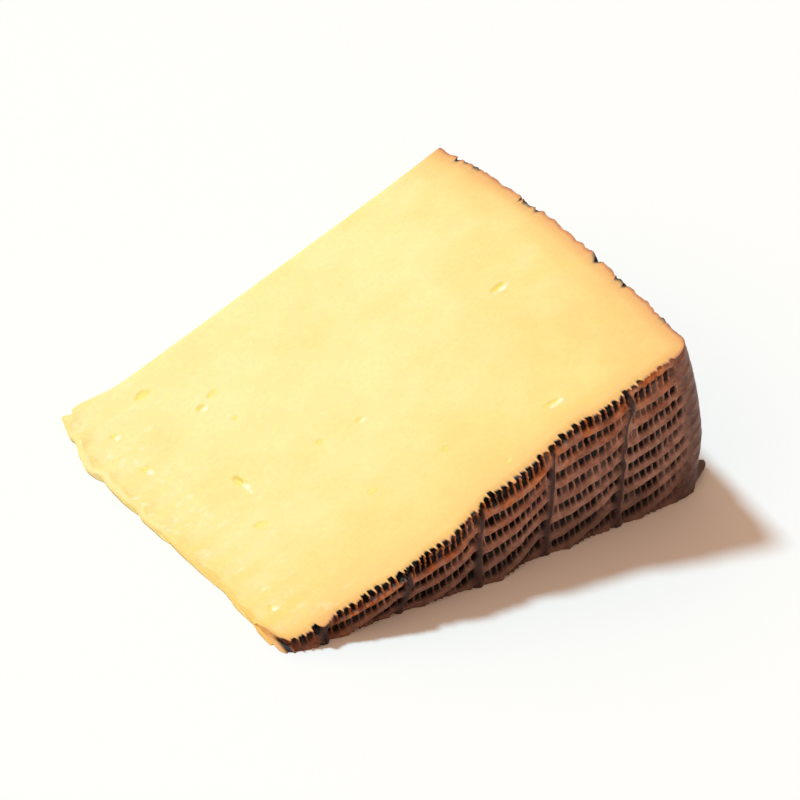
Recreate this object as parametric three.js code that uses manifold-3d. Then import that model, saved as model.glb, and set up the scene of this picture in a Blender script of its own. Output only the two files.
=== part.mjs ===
// Cured sheep cheese wedge: one sector of a pressed wheel, lying on a cut face. Millimetres, +Z up.
// Wheel frame while building: the wheel's axis is the line x = 0, z = 0 and runs along +Y, the pressed flat
// face is near y = 0, the far cut is near y = FAR_CUT, and the lower cut face is the plane z = 0.
import * as THREE from "three";
import Module from "manifold-3d";

// ---- driving dimensions, mm and degrees ----
const WEDGE_ANGLE = 21.9; // between the two cut faces: a sixteenth of a wheel, near enough
const WHEEL_RADIUS = 104.0; // at the flat face
const BARREL_BULGE = 3.9; // how much the curved side swells at BARREL_MIDDLE
const BARREL_MIDDLE = 55.0; // half the height of the whole wheel
const FAR_CUT = 93.6; // height of the piece along the wheel's axis
const RIM_ROUND = 4.2; // rounding between flat face and curved side at the upper cut
const RIM_ROUND_FLOOR = 7.5; // the same at the floor, where the rim sags
const CREASE_PITCH = 17.6; // cloth folds down the flat face
const FIRST_CREASE = 10.4;
const CREASE_WIDTH = 2.4;
const CREASE_HEIGHT = 0.8;
const ROW_PITCH = 4.1; // rows of pits
const ROW_RISE = 7.0; // each row climbs this much from one fold to the next
const PIT_PITCH = 1.45; // weave of the mould, along a row
const PIT_DEPTH = 1.35;
const BAR_DEPTH = 0.4; // thin bars between pits stand this far below the ridges
const PIT_LEAN = 0.45;
const SIDE_ROW_PITCH = 3.9; // rows round the curved side
const EDGE_LIFT = 1.5; // the thin edge is blunt by about this much
const MODEL_FROM_X = -9; // the rind sheet reaches past the cuts, which trim it
const MODEL_TO_Y = 104;
const SIDE_FROM_Z = -12;
const LATTICE = 0.04; // finest step kept in the finished surface

// Outer face of the rind on the flat side, y at stations of x: along the upper cut and along the floor.
const FLAT_UPPER = [
  [-9, 0.6], [5, 0.2], [11, 0.1], [16, -0.7], [21.5, -1.5], [27, -2.6], [33, -2.0], [39, -2.2],
  [43, -1.4], [48, -0.4], [59, -0.3], [66, 0.6], [72, 0.8], [77, -0.5], [84, -0.2], [97, 0.2], [112, 0.4],
];
const FLAT_FLOOR = [
  [-9, 0.2], [6, 0.2], [21, 0.1], [28, 0.2], [35, -0.6], [43, -1.0], [50, -1.8], [55, -0.8],
  [60, 0.3], [66, -0.4], [75, -0.1], [91, 0.1], [112, 0.6],
];
// The thin edge, x at stations of y.
const THIN_EDGE = [
  [-14, 0.8], [4, 0.7], [11, 0.4], [18, 0.5], [25, 1.0], [33, 0.5], [42, -0.4], [50, -1.1], [59, -1.7],
  [67, -2.0], [73, -2.4], [77, -3.0], [81, -2.4], [84, -1.4], [89, -0.6], [93, 0.2], [98, 0.9],
];
// Small mechanical openings in the upper cut face: distance from the thin edge, y, length along y, width, depth.
const OPENINGS = [
  [19.0, 47.5, 5.6, 1.3, 1.0], [17.5, 86.5, 2.4, 4.2, 0.8], [24.5, 72.5, 1.8, 1.6, 0.7], [28.3, 74.0, 1.2, 3.0, 0.6],
  [88.0, 47.2, 1.6, 3.6, 0.9], [37.0, 42.5, 1.6, 1.3, 0.6], [46.0, 40.5, 1.2, 1.8, 0.5], [28.0, 63.5, 1.6, 1.2, 0.6],
  [76.5, 11.0, 1.1, 4.0, 0.6], [54.0, 19.0, 1.3, 1.6, 0.5], [6.5, 67.0, 3.0, 1.4, 0.6], [37.0, 22.0, 1.6, 2.6, 0.5],
];

const SLOPE = Math.tan((WEDGE_ANGLE * Math.PI) / 180);
const wasm = await Module();
wasm.setup();
const { Manifold, Mesh } = wasm;

const clamp = (v, a, b) => Math.min(b, Math.max(a, v));
const mix = (a, b, t) => a + (b - a) * t;
const smooth = (a, b, v) => {
  const t = clamp((v - a) / (b - a), 0, 1);
  return t * t * (3 - 2 * t);
};

// Smooth interpolation (Catmull-Rom) through [position, value] stations.
function along(stations, at) {
  let i = 0;
  while (i < stations.length - 2 && at > stations[i + 1][0]) i++;
  const [x1, y1] = stations[i];
  const [x2, y2] = stations[i + 1];
  const [x0, y0] = stations[Math.max(0, i - 1)];
  const [x3, y3] = stations[Math.min(stations.length - 1, i + 2)];
  const t = clamp((at - x1) / (x2 - x1), 0, 1);
  const m1 = x2 > x0 ? ((y2 - y0) / (x2 - x0)) * (x2 - x1) : 0;
  const m2 = x3 > x1 ? ((y3 - y1) / (x3 - x1)) * (x2 - x1) : 0;
  const tt = t * t;
  const ttt = tt * t;
  return (2 * ttt - 3 * tt + 1) * y1 + (ttt - 2 * tt + t) * m1 + (3 * tt - 2 * ttt) * y2 + (ttt - tt) * m2;
}

const wheelRadius = (y) => WHEEL_RADIUS + BARREL_BULGE * (1 - ((y - BARREL_MIDDLE) / BARREL_MIDDLE) ** 2);
const rimRound = (z) => mix(RIM_ROUND_FLOOR, RIM_ROUND, smooth(0, 16, z));
const creaseAt = (n, z) => FIRST_CREASE + CREASE_PITCH * n + mix(-0.9, 0.9, clamp(z / 30, 0, 1));
const rowRise = (s) => ROW_RISE * (0.72 * s + 0.28 * s ** 4);

// Where x stands between two folds: the band, and 0 to 1 across it.
function bandOf(x, z) {
  const n = Math.floor((x - creaseAt(0, z)) / CREASE_PITCH);
  return { n, s: (x - creaseAt(n, z)) / CREASE_PITCH };
}

// Outer face of the flat side without pits, y.
function flatFace(x, z) {
  const up = clamp(z / Math.max(1.5, x * SLOPE), 0, 1);
  const curl = Math.min(9, 17.6 * Math.exp(-Math.max(x, -1) / 1.395));
  return mix(along(FLAT_FLOOR, x), along(FLAT_UPPER, x), up) + curl * smooth(0, 0.7, up + 0.25);
}

// 0 to 1: how much of a fold stands at x.
function fold(x, z) {
  const { s } = bandOf(x, z);
  const d = Math.min(s, 1 - s) * CREASE_PITCH;
  return 1 - smooth(0, CREASE_WIDTH * 0.55, d);
}

// A closed solid from loops of points, each loop joined to the next; the caps fan out from the loop's last point.
function loft(loops) {
  const n = loops[0].length;
  const verts = [];
  for (const loop of loops) for (const p of loop) verts.push(p[0], p[1], p[2]);
  const tris = [];
  for (let i = 0; i + 1 < loops.length; i++)
    for (let j = 0; j < n; j++) {
      const a = i * n + j;
      const b = i * n + ((j + 1) % n);
      const c = a + n;
      const d = b + n;
      if ((i + j) % 2) tris.push(a, b, d, a, d, c);
      else tris.push(a, b, c, b, d, c);
    }
  const last = (loops.length - 1) * n;
  for (let j = 0; j + 2 < n; j++) {
    tris.push(n - 1, j + 1, j);
    tris.push(last + n - 1, last + j, last + j + 1);
  }
  const build = (t) =>
    new Manifold(new Mesh({ numProp: 3, vertProperties: new Float32Array(verts), triVerts: new Uint32Array(t) }));
  const solid = build(tris);
  if (solid.volume() > 0) return solid;
  const turned = [];
  for (let i = 0; i < tris.length; i += 3) turned.push(tris[i], tris[i + 2], tris[i + 1]);
  return build(turned);
}

// The wheel's rind side: one sheet of flat face, rim and curved side, with its relief, closed behind.
function rindBlock() {
  const firstPit = Math.round((creaseAt(0, 0) - MODEL_FROM_X) / PIT_PITCH) + 1;
  const half = PIT_PITCH / 2;
  const lines = [];
  for (let row = -4; row < 12; row++) for (const kind of [0, 1, 2]) lines.push({ row, kind });
  const lastFold = FIRST_CREASE + 4 * CREASE_PITCH;
  const loops = lines.map(({ row, kind }, lineIndex) => {
    const f = [0, 0.24, 0.8][kind];
    const base = (row + f) * ROW_PITCH - 1.0;
    const loop = [];
    // Flat face, a column every half pit.
    const nearCols = 2 * Math.round((lastFold - MODEL_FROM_X) / PIT_PITCH);
    const lastCols = 24;
    for (let i = 0; i <= nearCols + lastCols; i++) {
      const roughX = i <= nearCols ? mix(MODEL_FROM_X, lastFold, i / nearCols) : lastFold;
      const here = bandOf(Math.min(roughX, lastFold + CREASE_PITCH * 0.9), base);
      const sLast = i > nearCols ? ((i - nearCols) / lastCols) * 0.94 : here.s;
      const z = base + rowRise(clamp(i > nearCols ? sLast : here.s, 0, 1));
      const rimX = Math.sqrt(Math.max(1, wheelRadius(4) ** 2 - z * z)) - rimRound(z);
      let x = i <= nearCols ? roughX : mix(lastFold, rimX, (i - nearCols) / lastCols);
      const lean = kind === 2 ? -PIT_LEAN : 0;
      const onFold = i <= nearCols ? fold(x, z) : fold(Math.min(x, lastFold + 8), z);
      const toRim = smooth(rimX, rimX - 4, x);
      const zone = smooth(0.02, 0.14, sLast) * (1 - onFold) * toRim;
      const isPit = i % 2 === 1 && kind === 2;
      const depth = (kind === 2 ? (isPit ? PIT_DEPTH : BAR_DEPTH) : 0) * zone;
      if (zone > 0.3 && i > 0 && i < nearCols + lastCols) x += lean;
      const y = flatFace(x, z) + depth - CREASE_HEIGHT * onFold + (1 - toRim) * 0.15;
      loop.push([x, y, z]);
    }
    // Rim, then the curved side with a row of coarser pits between the rows' crests.
    const [ex, ey, nearZ] = loop[loop.length - 1];
    const ez = SIDE_FROM_Z + (lineIndex * ROW_PITCH) / 3; // evenly spaced from here on
    const r = rimRound(nearZ);
    const flare = 2.6 * Math.exp(-(((ez - 0.5) / 3.2) ** 2));
    for (const turn of [0.34, 0.7, 1]) {
      const a = (turn * Math.PI) / 2;
      const z = mix(nearZ, ez, turn);
      const swing = Math.sqrt(wheelRadius(4) ** 2 - z * z) - Math.sqrt(wheelRadius(4) ** 2 - nearZ * nearZ);
      loop.push([ex + swing + (r + flare * turn) * Math.sin(a), ey + r * (1 - Math.cos(a)), z]);
    }
    const startY = ey + r;
    const rows = Math.round((MODEL_TO_Y - RIM_ROUND) / SIDE_ROW_PITCH);
    const arc = ez;
    for (let k = 0; k < rows; k++)
      for (const part of [0.45, 1]) {
        const y = startY + (k + part) * ((MODEL_TO_Y - startY) / rows);
        const onFold = 1 - smooth(0, 2.2, Math.abs((((arc + 6) % CREASE_PITCH) + CREASE_PITCH) % CREASE_PITCH - 8));
        const deep = part < 1 ? (lineIndex % 2 ? PIT_DEPTH * 0.8 : BAR_DEPTH) : 0;
        const swell = flare * Math.exp(-Math.max(0, y - startY) / 9);
        const R = wheelRadius(y) + swell - deep * (1 - onFold) + 0.5 * onFold;
        loop.push([Math.sqrt(R * R - ez * ez), y, ez]);
      }
    loop.push([MODEL_FROM_X, MODEL_TO_Y, base]);
    return loop;
  });
  return loft(loops);
}

// The two knife cuts: height of the upper one over the floor, and y of the far one.
const tipAt = (y) =>
  along(THIN_EDGE, y) +
  (0.35 * Math.sin(y * 1.3) * Math.sin(y * 0.41 + 1) + 0.2 * Math.sin(y * 2.7 + 0.6)) * smooth(2, 8, y);
const bluntAt = (y) => EDGE_LIFT * mix(0.55, 1.25, smooth(10, 62, y)) + 0.2 * Math.sin(y * 0.9);
const upperCut = (x, y) =>
  Math.max(0, x) * SLOPE + bluntAt(y) * Math.exp(-(x - tipAt(y)) / 6) + Math.min(0, x) * 0.08;
const farCut = (x) => FAR_CUT + 2.2 * Math.exp(-(x + 2) / 5) + 0.6 * clamp(x / 105, 0, 1) ** 5;

// The space between the cuts, with the blunt and uneven thin edge.
function cutSpace() {
  const loops = [];
  for (let i = 0; i <= 46; i++) {
    const t = i / 46;
    const y = mix(-12, FAR_CUT, t);
    const tip = tipAt(y);
    const blunt = bluntAt(y);
    const section = [
      [tip + 0.5, 0],
      [tip, blunt * 0.4],
      [tip + 0.25, blunt * 0.85],
    ];
    for (const x of [tip + 0.8, 3, 7, 13, 24, 45, 75, 130]) section.push([x, upperCut(x, y)]);
    section.push([130, 0]);
    loops.push(section.map(([x, z]) => [x, i === 46 ? farCut(x) : y, z]));
  }
  return loft(loops);
}

// A low, irregular opening, sunk into the upper cut face.
function opening([rho, y, length, width, depth], index) {
  const shape = new THREE.IcosahedronGeometry(0.5, 1);
  const position = shape.getAttribute("position");
  const seen = new Map();
  const verts = [];
  const tris = [];
  for (let i = 0; i < position.count; i++) {
    const p = [position.getX(i), position.getY(i), position.getZ(i)];
    const key = p.map((v) => v.toFixed(4)).join();
    if (!seen.has(key)) {
      const wobble = 1 + 0.18 * Math.sin(7 * p[0] + index) * Math.cos(5 * p[1] - index);
      seen.set(key, verts.length / 3);
      verts.push(p[0] * width * wobble, p[1] * length * wobble, p[2] * depth * 2);
    }
    tris.push(seen.get(key));
  }
  const angle = (WEDGE_ANGLE * Math.PI) / 180;
  return new Manifold(
    new Mesh({ numProp: 3, vertProperties: new Float32Array(verts), triVerts: new Uint32Array(tris) }),
  )
    .rotate([0, -WEDGE_ANGLE, 0])
    .translate([rho * Math.cos(angle), y, rho * Math.sin(angle) + 0.05 + EDGE_LIFT * Math.exp(-rho / 6)]);
}

// The broken far corner of the thin edge.
function brokenCorner() {
  const chip = (x, y, z, sx, sy, sz, turn) =>
    Manifold.cube([sx, sy, sz], true).rotate([12, -20, turn]).translate([x, y, z]);
  return [chip(0.4, 97.2, 2.6, 5.2, 4.4, 3.4, 24), chip(-2.6, 90.5, 1.9, 2.6, 5.0, 2.4, -14)];
}

let wedge = rindBlock().intersect(cutSpace());
for (const tool of [...OPENINGS.map(opening), ...brokenCorner()]) wedge = wedge.subtract(tool);

// Keep the one body, in case a cut leaves a crumb behind, and close up the slivers that cuts leave: vertices
// move to the nearest point of a fine lattice, and edges that shrink to nothing there are collapsed.
const bodies = wedge.decompose().sort((a, b) => b.volume() - a.volume());
let solid = bodies[0].simplify(LATTICE);
for (let pass = 0; pass < 3; pass++) {
  const cut = solid.getMesh();
  const vertProperties = cut.vertProperties.map((v) => Math.round(v / LATTICE) * LATTICE);
  // What lay on a cut goes back onto it, so that the cut faces stay true.
  for (let i = 0; i < vertProperties.length; i += 3) {
    const [x, y, z] = vertProperties.subarray(i, i + 3);
    if (x > 13 && Math.abs(z - upperCut(x, y)) < LATTICE) vertProperties[i + 2] = upperCut(x, y);
    if (Math.abs(y - farCut(x)) < LATTICE * 1.5) vertProperties[i + 1] = farCut(x);
  }
  solid = new Manifold(new Mesh({ numProp: 3, vertProperties, triVerts: cut.triVerts })).simplify(LATTICE * 0.9);
}
const mesh = solid.getMesh();
const geometry = new THREE.BufferGeometry();
geometry.setAttribute("position", new THREE.BufferAttribute(new Float32Array(mesh.vertProperties), 3));
geometry.setIndex([...mesh.triVerts]);
// The origin is the middle of the bottom of the wedge's box.
geometry.computeBoundingBox();
const box = geometry.boundingBox;
geometry.translate(-(box.min.x + box.max.x) / 2, -(box.min.y + box.max.y) / 2, -box.min.z);
const flat = geometry.toNonIndexed();
flat.computeVertexNormals();

const group = new THREE.Group();
group.name = "cheese_wedge_part";
const cheese = new THREE.Mesh(flat, new THREE.MeshStandardMaterial({ color: 0xf3d98a, roughness: 0.6, metalness: 0 }));
cheese.name = "cheese_wedge";
group.add(cheese);

export default group;
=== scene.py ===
"""Looks of a cured sheep cheese wedge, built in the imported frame.

Wheel frame, used while building, in millimetres: the wheel's axis is x = 0, z = 0 and runs along +Y, the
pressed flat face is near y = 0, the far cut near y = 94, and the wedge lies on the plane z = 0.
"""

import logging
from dataclasses import dataclass, field
from enum import Enum
from typing import Optional

import bpy
import numpy as np
from mathutils import Matrix, Vector

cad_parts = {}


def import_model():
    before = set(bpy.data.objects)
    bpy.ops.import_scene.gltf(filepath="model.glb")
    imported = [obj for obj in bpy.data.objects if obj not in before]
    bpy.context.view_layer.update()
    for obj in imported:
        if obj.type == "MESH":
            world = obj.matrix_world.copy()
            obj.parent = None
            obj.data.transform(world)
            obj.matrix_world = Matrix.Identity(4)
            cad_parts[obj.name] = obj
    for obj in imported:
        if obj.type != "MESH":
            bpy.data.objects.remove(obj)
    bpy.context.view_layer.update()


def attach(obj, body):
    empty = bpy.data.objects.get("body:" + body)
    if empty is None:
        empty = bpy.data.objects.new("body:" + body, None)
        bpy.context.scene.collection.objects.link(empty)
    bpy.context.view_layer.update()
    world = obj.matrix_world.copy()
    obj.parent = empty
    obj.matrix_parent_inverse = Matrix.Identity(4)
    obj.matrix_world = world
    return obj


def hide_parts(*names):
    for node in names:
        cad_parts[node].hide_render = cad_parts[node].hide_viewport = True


LOG = logging.getLogger("cheese_wedge")
MM = 0.001  # metres in a millimetre
NODE = "cheese_wedge"
FRAME_ORIGIN = np.array([52.78, 45.78, 0.0])  # the row frame's origin, in the wheel frame

Array = np.ndarray
Ramp = tuple[float, float]  # where something starts and where it is whole; or two values it goes between
Stations = tuple[tuple[float, float], ...]


# Small mathematics

HASH_PRIMES = (374761393, 668265263, 1442695041)
HASH_MIXERS = (1274126177, 2246822519)
LOW_32_BITS = 0xFFFFFFFF
LOW_24_BITS = 0xFFFFFF
# Each octave's share of the grain's size, its shift along both coordinates in mm, and its weight.
OCTAVES = ((1.0, 0.0, 0.0, 0.55), (0.47, 7.3, -3.1, 0.3), (0.21, -1.7, 5.9, 0.15))


def smooth(low: float, high: float, value: Array) -> Array:
    """Ease from 0 at low to 1 at high."""
    t = np.clip((value - low) / (high - low), 0.0, 1.0)
    return t * t * (3.0 - 2.0 * t)


def blend(a: Array | float, b: Array | float, share: Array) -> Array:
    """Go from a to b by a share."""
    return a + (b - a) * share


def hump(value: Array, centre: float, width: float) -> Array:
    """Stand at 1 at the centre and fall to nothing over a few widths."""
    return np.exp(-(((value - centre) / width) ** 2))


def along(stations: Stations, at: Array) -> Array:
    """Read a smooth curve through stations.

    Args:
        stations: pairs of position and value, in order of position.
        at: the positions to read.

    Returns:
        The curve's value at each position.
    """
    xs = np.array([p for p, _ in stations], float)
    ys = np.array([v for _, v in stations], float)
    slope = np.gradient(ys, xs)
    i = np.clip(np.searchsorted(xs, at) - 1, 0, len(xs) - 2)
    h = xs[i + 1] - xs[i]
    t = np.clip((at - xs[i]) / h, 0.0, 1.0)
    t2, t3 = t * t, t * t * t
    return (
        (2 * t3 - 3 * t2 + 1) * ys[i]
        + (t3 - 2 * t2 + t) * h * slope[i]
        + (3 * t2 - 2 * t3) * ys[i + 1]
        + (t3 - t2) * h * slope[i + 1]
    )


def hashed(i: Array, j: Array, seed: int) -> Array:
    """Give each lattice cell a fixed number, by a 32-bit mixing hash.

    Args:
        i: whole cell numbers.
        j: whole cell numbers.
        seed: picks the pattern.

    Returns:
        Values from 0 to 1.
    """
    first, second, third = HASH_PRIMES
    n = (i.astype(np.int64) * first + j.astype(np.int64) * second + seed * third) & LOW_32_BITS
    n = ((n ^ (n >> 13)) * HASH_MIXERS[0]) & LOW_32_BITS
    n = ((n ^ (n >> 16)) * HASH_MIXERS[1]) & LOW_32_BITS
    return ((n ^ (n >> 15)) & LOW_24_BITS) / float(LOW_24_BITS)


def value_noise(x: Array, y: Array, seed: int) -> Array:
    """Ease between the fixed numbers of a unit lattice.

    Args:
        x: first coordinate, in cells.
        y: second coordinate, in cells.
        seed: picks the pattern.

    Returns:
        Values from -1 to 1.
    """
    i, j = np.floor(x), np.floor(y)
    u, v = x - i, y - j
    u, v = u * u * (3 - 2 * u), v * v * (3 - 2 * v)
    low = blend(hashed(i, j, seed), hashed(i + 1, j, seed), u)
    high = blend(hashed(i, j + 1, seed), hashed(i + 1, j + 1, seed), u)
    return blend(low, high, v) * 2.0 - 1.0


@dataclass(frozen=True)
class Grain:
    """Fixed random unevenness: the width of a grain in mm, the pattern's seed, and how far it swings."""

    size: float
    seed: int
    swing: float = 1.0

    def at(self, a: Array, b: Array) -> Array:
        """Read one octave at two coordinates in mm."""
        return value_noise(a / self.size, b / self.size, self.seed) * self.swing

    def line(self, a: Array) -> Array:
        """Read one octave along a line."""
        return self.at(a, np.zeros_like(a))

    def other(self, step: int) -> "Grain":
        """Give the same grain in another pattern."""
        return Grain(self.size, self.seed + step, self.swing)

    def crumbled(self, a: Array, b: Array) -> Array:
        """Read three octaves, for a broken surface.

        Args:
            a: first coordinate, mm.
            b: second coordinate, mm.

        Returns:
            Values from -swing to swing or so.
        """
        total = 0.0
        for k, (share, shift_a, shift_b, weight) in enumerate(OCTAVES):
            size = self.size * share
            total = total + value_noise((a + shift_a) / size, (b + shift_b) / size, self.seed + k) * weight
        return total * self.swing


@dataclass(frozen=True)
class Patches:
    """Patches at full strength among weaker ones."""

    grain: Grain
    ramp: Ramp
    least: float = 0.0

    def at(self, a: Array, b: Array) -> Array:
        """Read the strength at two coordinates in mm."""
        return blend(self.least, 1.0, smooth(*self.ramp, self.grain.at(a, b)))


# The form of the wheel and of the cuts


@dataclass(frozen=True)
class WheelForm:
    """The pressed wheel before cutting, in mm: flat face, rim, curved side, and how folds and rows run."""

    radius: float = 104.0
    barrel_bulge: float = 3.9
    barrel_middle: float = 55.0
    far_taper: float = 0.9
    far_taper_ramp: Ramp = (84.0, 94.0)
    rim_round: float = 4.2
    rim_round_floor: float = 7.5
    rim_round_ramp: Ramp = (0.0, 16.0)
    rim_depth: float = 4.0  # where behind the flat face the side's radius counts for the rim
    fold_pitch: float = 17.6
    first_fold: float = 10.4
    last_band: int = 4
    fold_width: float = 2.3
    fold_height: float = 0.75
    fold_lean: float = 0.9
    fold_lean_height: float = 30.0
    fold_wander: Grain = Grain(7.0, 5, 0.55)
    fold_wriggle: Grain = Grain(2.6, 6, 0.3)
    fold_lane: float = 9.0  # each fold reads a lane of its own in the random patterns
    fold_lane_shift: float = 4.0
    row_pitch: float = 4.1
    row_rise: float = 7.0
    row_start: float = -1.0
    row_upturn: float = 0.28  # the share of the rise that comes late, beside the next fold
    row_upturn_power: int = 4
    row_wander: Grain = Grain(9.0, 11, 0.35)
    pressed: float = 0.55  # the last half millimetre over the floor is pressed flat
    tip_height: float = 1.5
    tip_curl: float = 17.6  # how far the thin tip curls away from the flat face at the axis line
    tip_curl_from: float = -1.0
    tip_curl_most: float = 9.0
    tip_curl_fade: float = 1.395
    tip_curl_up: float = 0.25
    tip_curl_ramp: Ramp = (0.0, 0.7)
    flat_upper: Stations = (
        (-9, 0.6), (5, 0.2), (11, 0.1), (16, -0.7), (21.5, -1.5), (27, -2.6), (33, -2.0), (39, -2.2),
        (43, -1.4), (48, -0.4), (59, -0.3), (66, 0.6), (72, 0.8), (77, -0.5), (84, -0.2), (97, 0.2),
        (112, 0.4),
    )
    flat_floor: Stations = (
        (-9, 0.2), (6, 0.2), (21, 0.1), (28, 0.2), (35, -0.6), (43, -1.0), (50, -1.8), (55, -0.8),
        (60, 0.3), (66, -0.4), (75, -0.1), (91, 0.1), (112, 0.6),
    )

    def side_radius(self, y: Array) -> Array:
        """Radius of the curved side's crests at height y along the axis."""
        barrel = self.barrel_bulge * (1 - ((y - self.barrel_middle) / self.barrel_middle) ** 2)
        return self.radius + barrel - self.far_taper * smooth(*self.far_taper_ramp, y)

    def rim(self, z: Array) -> Array:
        """Rounding radius between flat face and curved side, at a height over the floor."""
        return blend(self.rim_round_floor, self.rim_round, smooth(*self.rim_round_ramp, z))

    def lean(self, z: Array) -> Array:
        """How far the folds lean to the right at height z."""
        return blend(-self.fold_lean, self.fold_lean, np.clip(z / self.fold_lean_height, 0, 1))

    def fold_at(self, n: Array, z: Array) -> Array:
        """Find where a fold stands.

        Args:
            n: the fold's number; below 0 is the thin tip, which has a straight edge.
            z: height over the floor, mm.

        Returns:
            The fold's x, mm.
        """
        lane = n * self.fold_lane
        wander = self.fold_wander.at(z, lane + self.fold_lane_shift) + self.fold_wriggle.at(z, lane)
        return self.first_fold + self.fold_pitch * n + self.lean(z) + wander * (n >= 0)

    def band(self, x: Array, z: Array) -> tuple[Array, Array]:
        """Find the band between two folds that a place on the flat face is in.

        Args:
            x: distance from the axis line, mm.
            z: height over the floor, mm.

        Returns:
            The band's number, and 0 to 1 across it.
        """
        n = np.floor((x - (self.first_fold + self.lean(z))) / self.fold_pitch)
        n = n + (x >= self.fold_at(n + 1, z)) - (x < self.fold_at(n, z))
        n = np.minimum(n, self.last_band)
        left, right = self.fold_at(n, z), self.fold_at(n + 1, z)
        return n, (x - left) / np.where(n < self.last_band, right - left, self.fold_pitch)

    def row_number(self, x: Array, z: Array) -> Array:
        """Number the rows of pits, which rise to the right and steepen towards the next fold.

        Args:
            x: distance from the axis line, mm.
            z: height over the floor, mm.

        Returns:
            The row's number with its fraction.
        """
        _, s = self.band(x, z)
        rise = self.row_rise * ((1 - self.row_upturn) * s + self.row_upturn * s**self.row_upturn_power)
        return (z - self.row_start - rise + self.row_wander.at(x, z)) / self.row_pitch

    def flat_face(self, x: Array, z: Array, cuts: "CutForm") -> Array:
        """Give the flat face's y without its weave.

        Args:
            x: distance from the axis line, mm.
            z: height over the floor, mm.
            cuts: the knife cuts, for how high the point is in the wedge.

        Returns:
            The crest level, mm along the axis.
        """
        up = np.clip(z / np.maximum(self.tip_height, x * cuts.slope), 0, 1)
        fade = np.exp(-np.maximum(x, self.tip_curl_from) / self.tip_curl_fade)
        curl = np.minimum(self.tip_curl_most, self.tip_curl * fade)
        base = blend(along(self.flat_floor, x), along(self.flat_upper, x), up)
        return base + curl * smooth(*self.tip_curl_ramp, up + self.tip_curl_up)


@dataclass(frozen=True)
class CutForm:
    """The knife cuts, in mm: the sector's angle, the far cut and the blunt thin edge."""

    angle: float = np.radians(21.9)
    far: float = 93.6
    far_reach: float = 105.0
    far_bow: float = 0.6
    far_bow_power: int = 5
    corner: tuple[float, float, float] = (1.9, 5.4, 5.0)  # height, place and width of the broken corner
    corner_point: tuple[float, float, float] = (0.8, 0.8, 0.7)
    corner_notch: tuple[float, float, float] = (1.5, 2.4, 0.65)
    edge_lift: float = 1.5
    edge_lift_shares: Ramp = (0.55, 1.25)
    edge_lift_ramp: Ramp = (10.0, 62.0)
    edge_wave: float = 0.2
    edge_wave_turn: float = 0.9  # radians for each mm
    edge_fade: float = 6.0
    edge_ragged: Grain = Grain(3.6, 451, 0.42)
    edge_crumb: Grain = Grain(1.3, 452, 0.14)
    edge_ragged_ramp: Ramp = (2.0, 8.0)
    beyond_axis: float = 0.08  # the upper cut's slope past the axis line
    thin_edge: Stations = (
        (-14, 0.8), (4, 0.7), (11, 0.4), (18, 0.5), (25, 1.0), (33, 0.5), (42, -0.4), (50, -1.1), (59, -1.7),
        (67, -2.0), (73, -2.4), (77, -3.0), (81, -2.4), (84, -1.4), (89, -0.6), (93, 0.2), (98, 0.9),
    )

    @property
    def slope(self) -> float:
        """Rise of the upper cut."""
        return float(np.tan(self.angle))

    def tip(self, y: Array) -> Array:
        """The thin edge's x, with its small unevenness."""
        ragged = self.edge_ragged.line(y) + self.edge_crumb.line(y)
        return along(self.thin_edge, y) + ragged * smooth(*self.edge_ragged_ramp, y)

    def blunt(self, y: Array) -> Array:
        """How thick the thin edge is."""
        lift = self.edge_lift * blend(*self.edge_lift_shares, smooth(*self.edge_lift_ramp, y))
        return lift + self.edge_wave * np.sin(y * self.edge_wave_turn)

    def upper(self, x: Array, y: Array) -> Array:
        """Height of the upper cut over the floor."""
        rise = np.maximum(x, 0) * self.slope + np.minimum(x, 0) * self.beyond_axis
        return rise + self.blunt(y) * np.exp(-(x - self.tip(y)) / self.edge_fade)

    def far_cut(self, x: Array) -> Array:
        """Give the far cut's y, with the corner broken at the thin edge.

        Args:
            x: distance from the axis line, mm.

        Returns:
            Distance along the axis, mm.
        """
        body, point, notch = (
            height * hump(x, place, width)
            for height, place, width in (self.corner, self.corner_point, self.corner_notch)
        )
        bow = self.far_bow * np.clip(x / self.far_reach, 0, 1) ** self.far_bow_power
        return self.far + (body + point) - notch + bow


# Materials

# Light goes about 3 mm into the paste, red the furthest.
PASTE_SCATTER = {"Subsurface Radius": (1.0, 0.62, 0.25), "Subsurface Scale": 0.003}


def linear(hex_code: str) -> tuple[float, float, float, float]:
    """Turn an sRGB hex value to linear colour.

    Args:
        hex_code: the value, as #RRGGBB.

    Returns:
        Red, green, blue and full opacity.
    """
    parts = [int(hex_code[i : i + 2], 16) / 255 for i in (1, 3, 5)]
    r, g, b = (c / 12.92 if c <= 0.04045 else ((c + 0.055) / 1.055) ** 2.4 for c in parts)
    return (r, g, b, 1.0)


def add_node(
    tree: bpy.types.NodeTree, kind: str, settings: Optional[dict] = None, links: Optional[dict] = None
) -> bpy.types.Node:
    """Add a node with its settings and links.

    Args:
        tree: the node tree.
        kind: the node's type name.
        settings: attributes by name, or socket values by socket name or number.
        links: output sockets by the input socket they feed.

    Returns:
        The new node.
    """
    node = tree.nodes.new(kind)
    for key, value in (settings or {}).items():
        if isinstance(key, str) and hasattr(node, key):
            setattr(node, key, value)
        else:
            node.inputs[key].default_value = value
    for key, socket in (links or {}).items():
        tree.links.new(socket, node.inputs[key])
    return node


def new_material(name: str) -> tuple[bpy.types.Material, bpy.types.NodeTree]:
    """Make an empty node material.

    Args:
        name: the finish's name.

    Returns:
        The material and its node tree.
    """
    material = bpy.data.materials.new(name)
    material.use_nodes = True
    material.node_tree.nodes.clear()
    return material, material.node_tree


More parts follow.
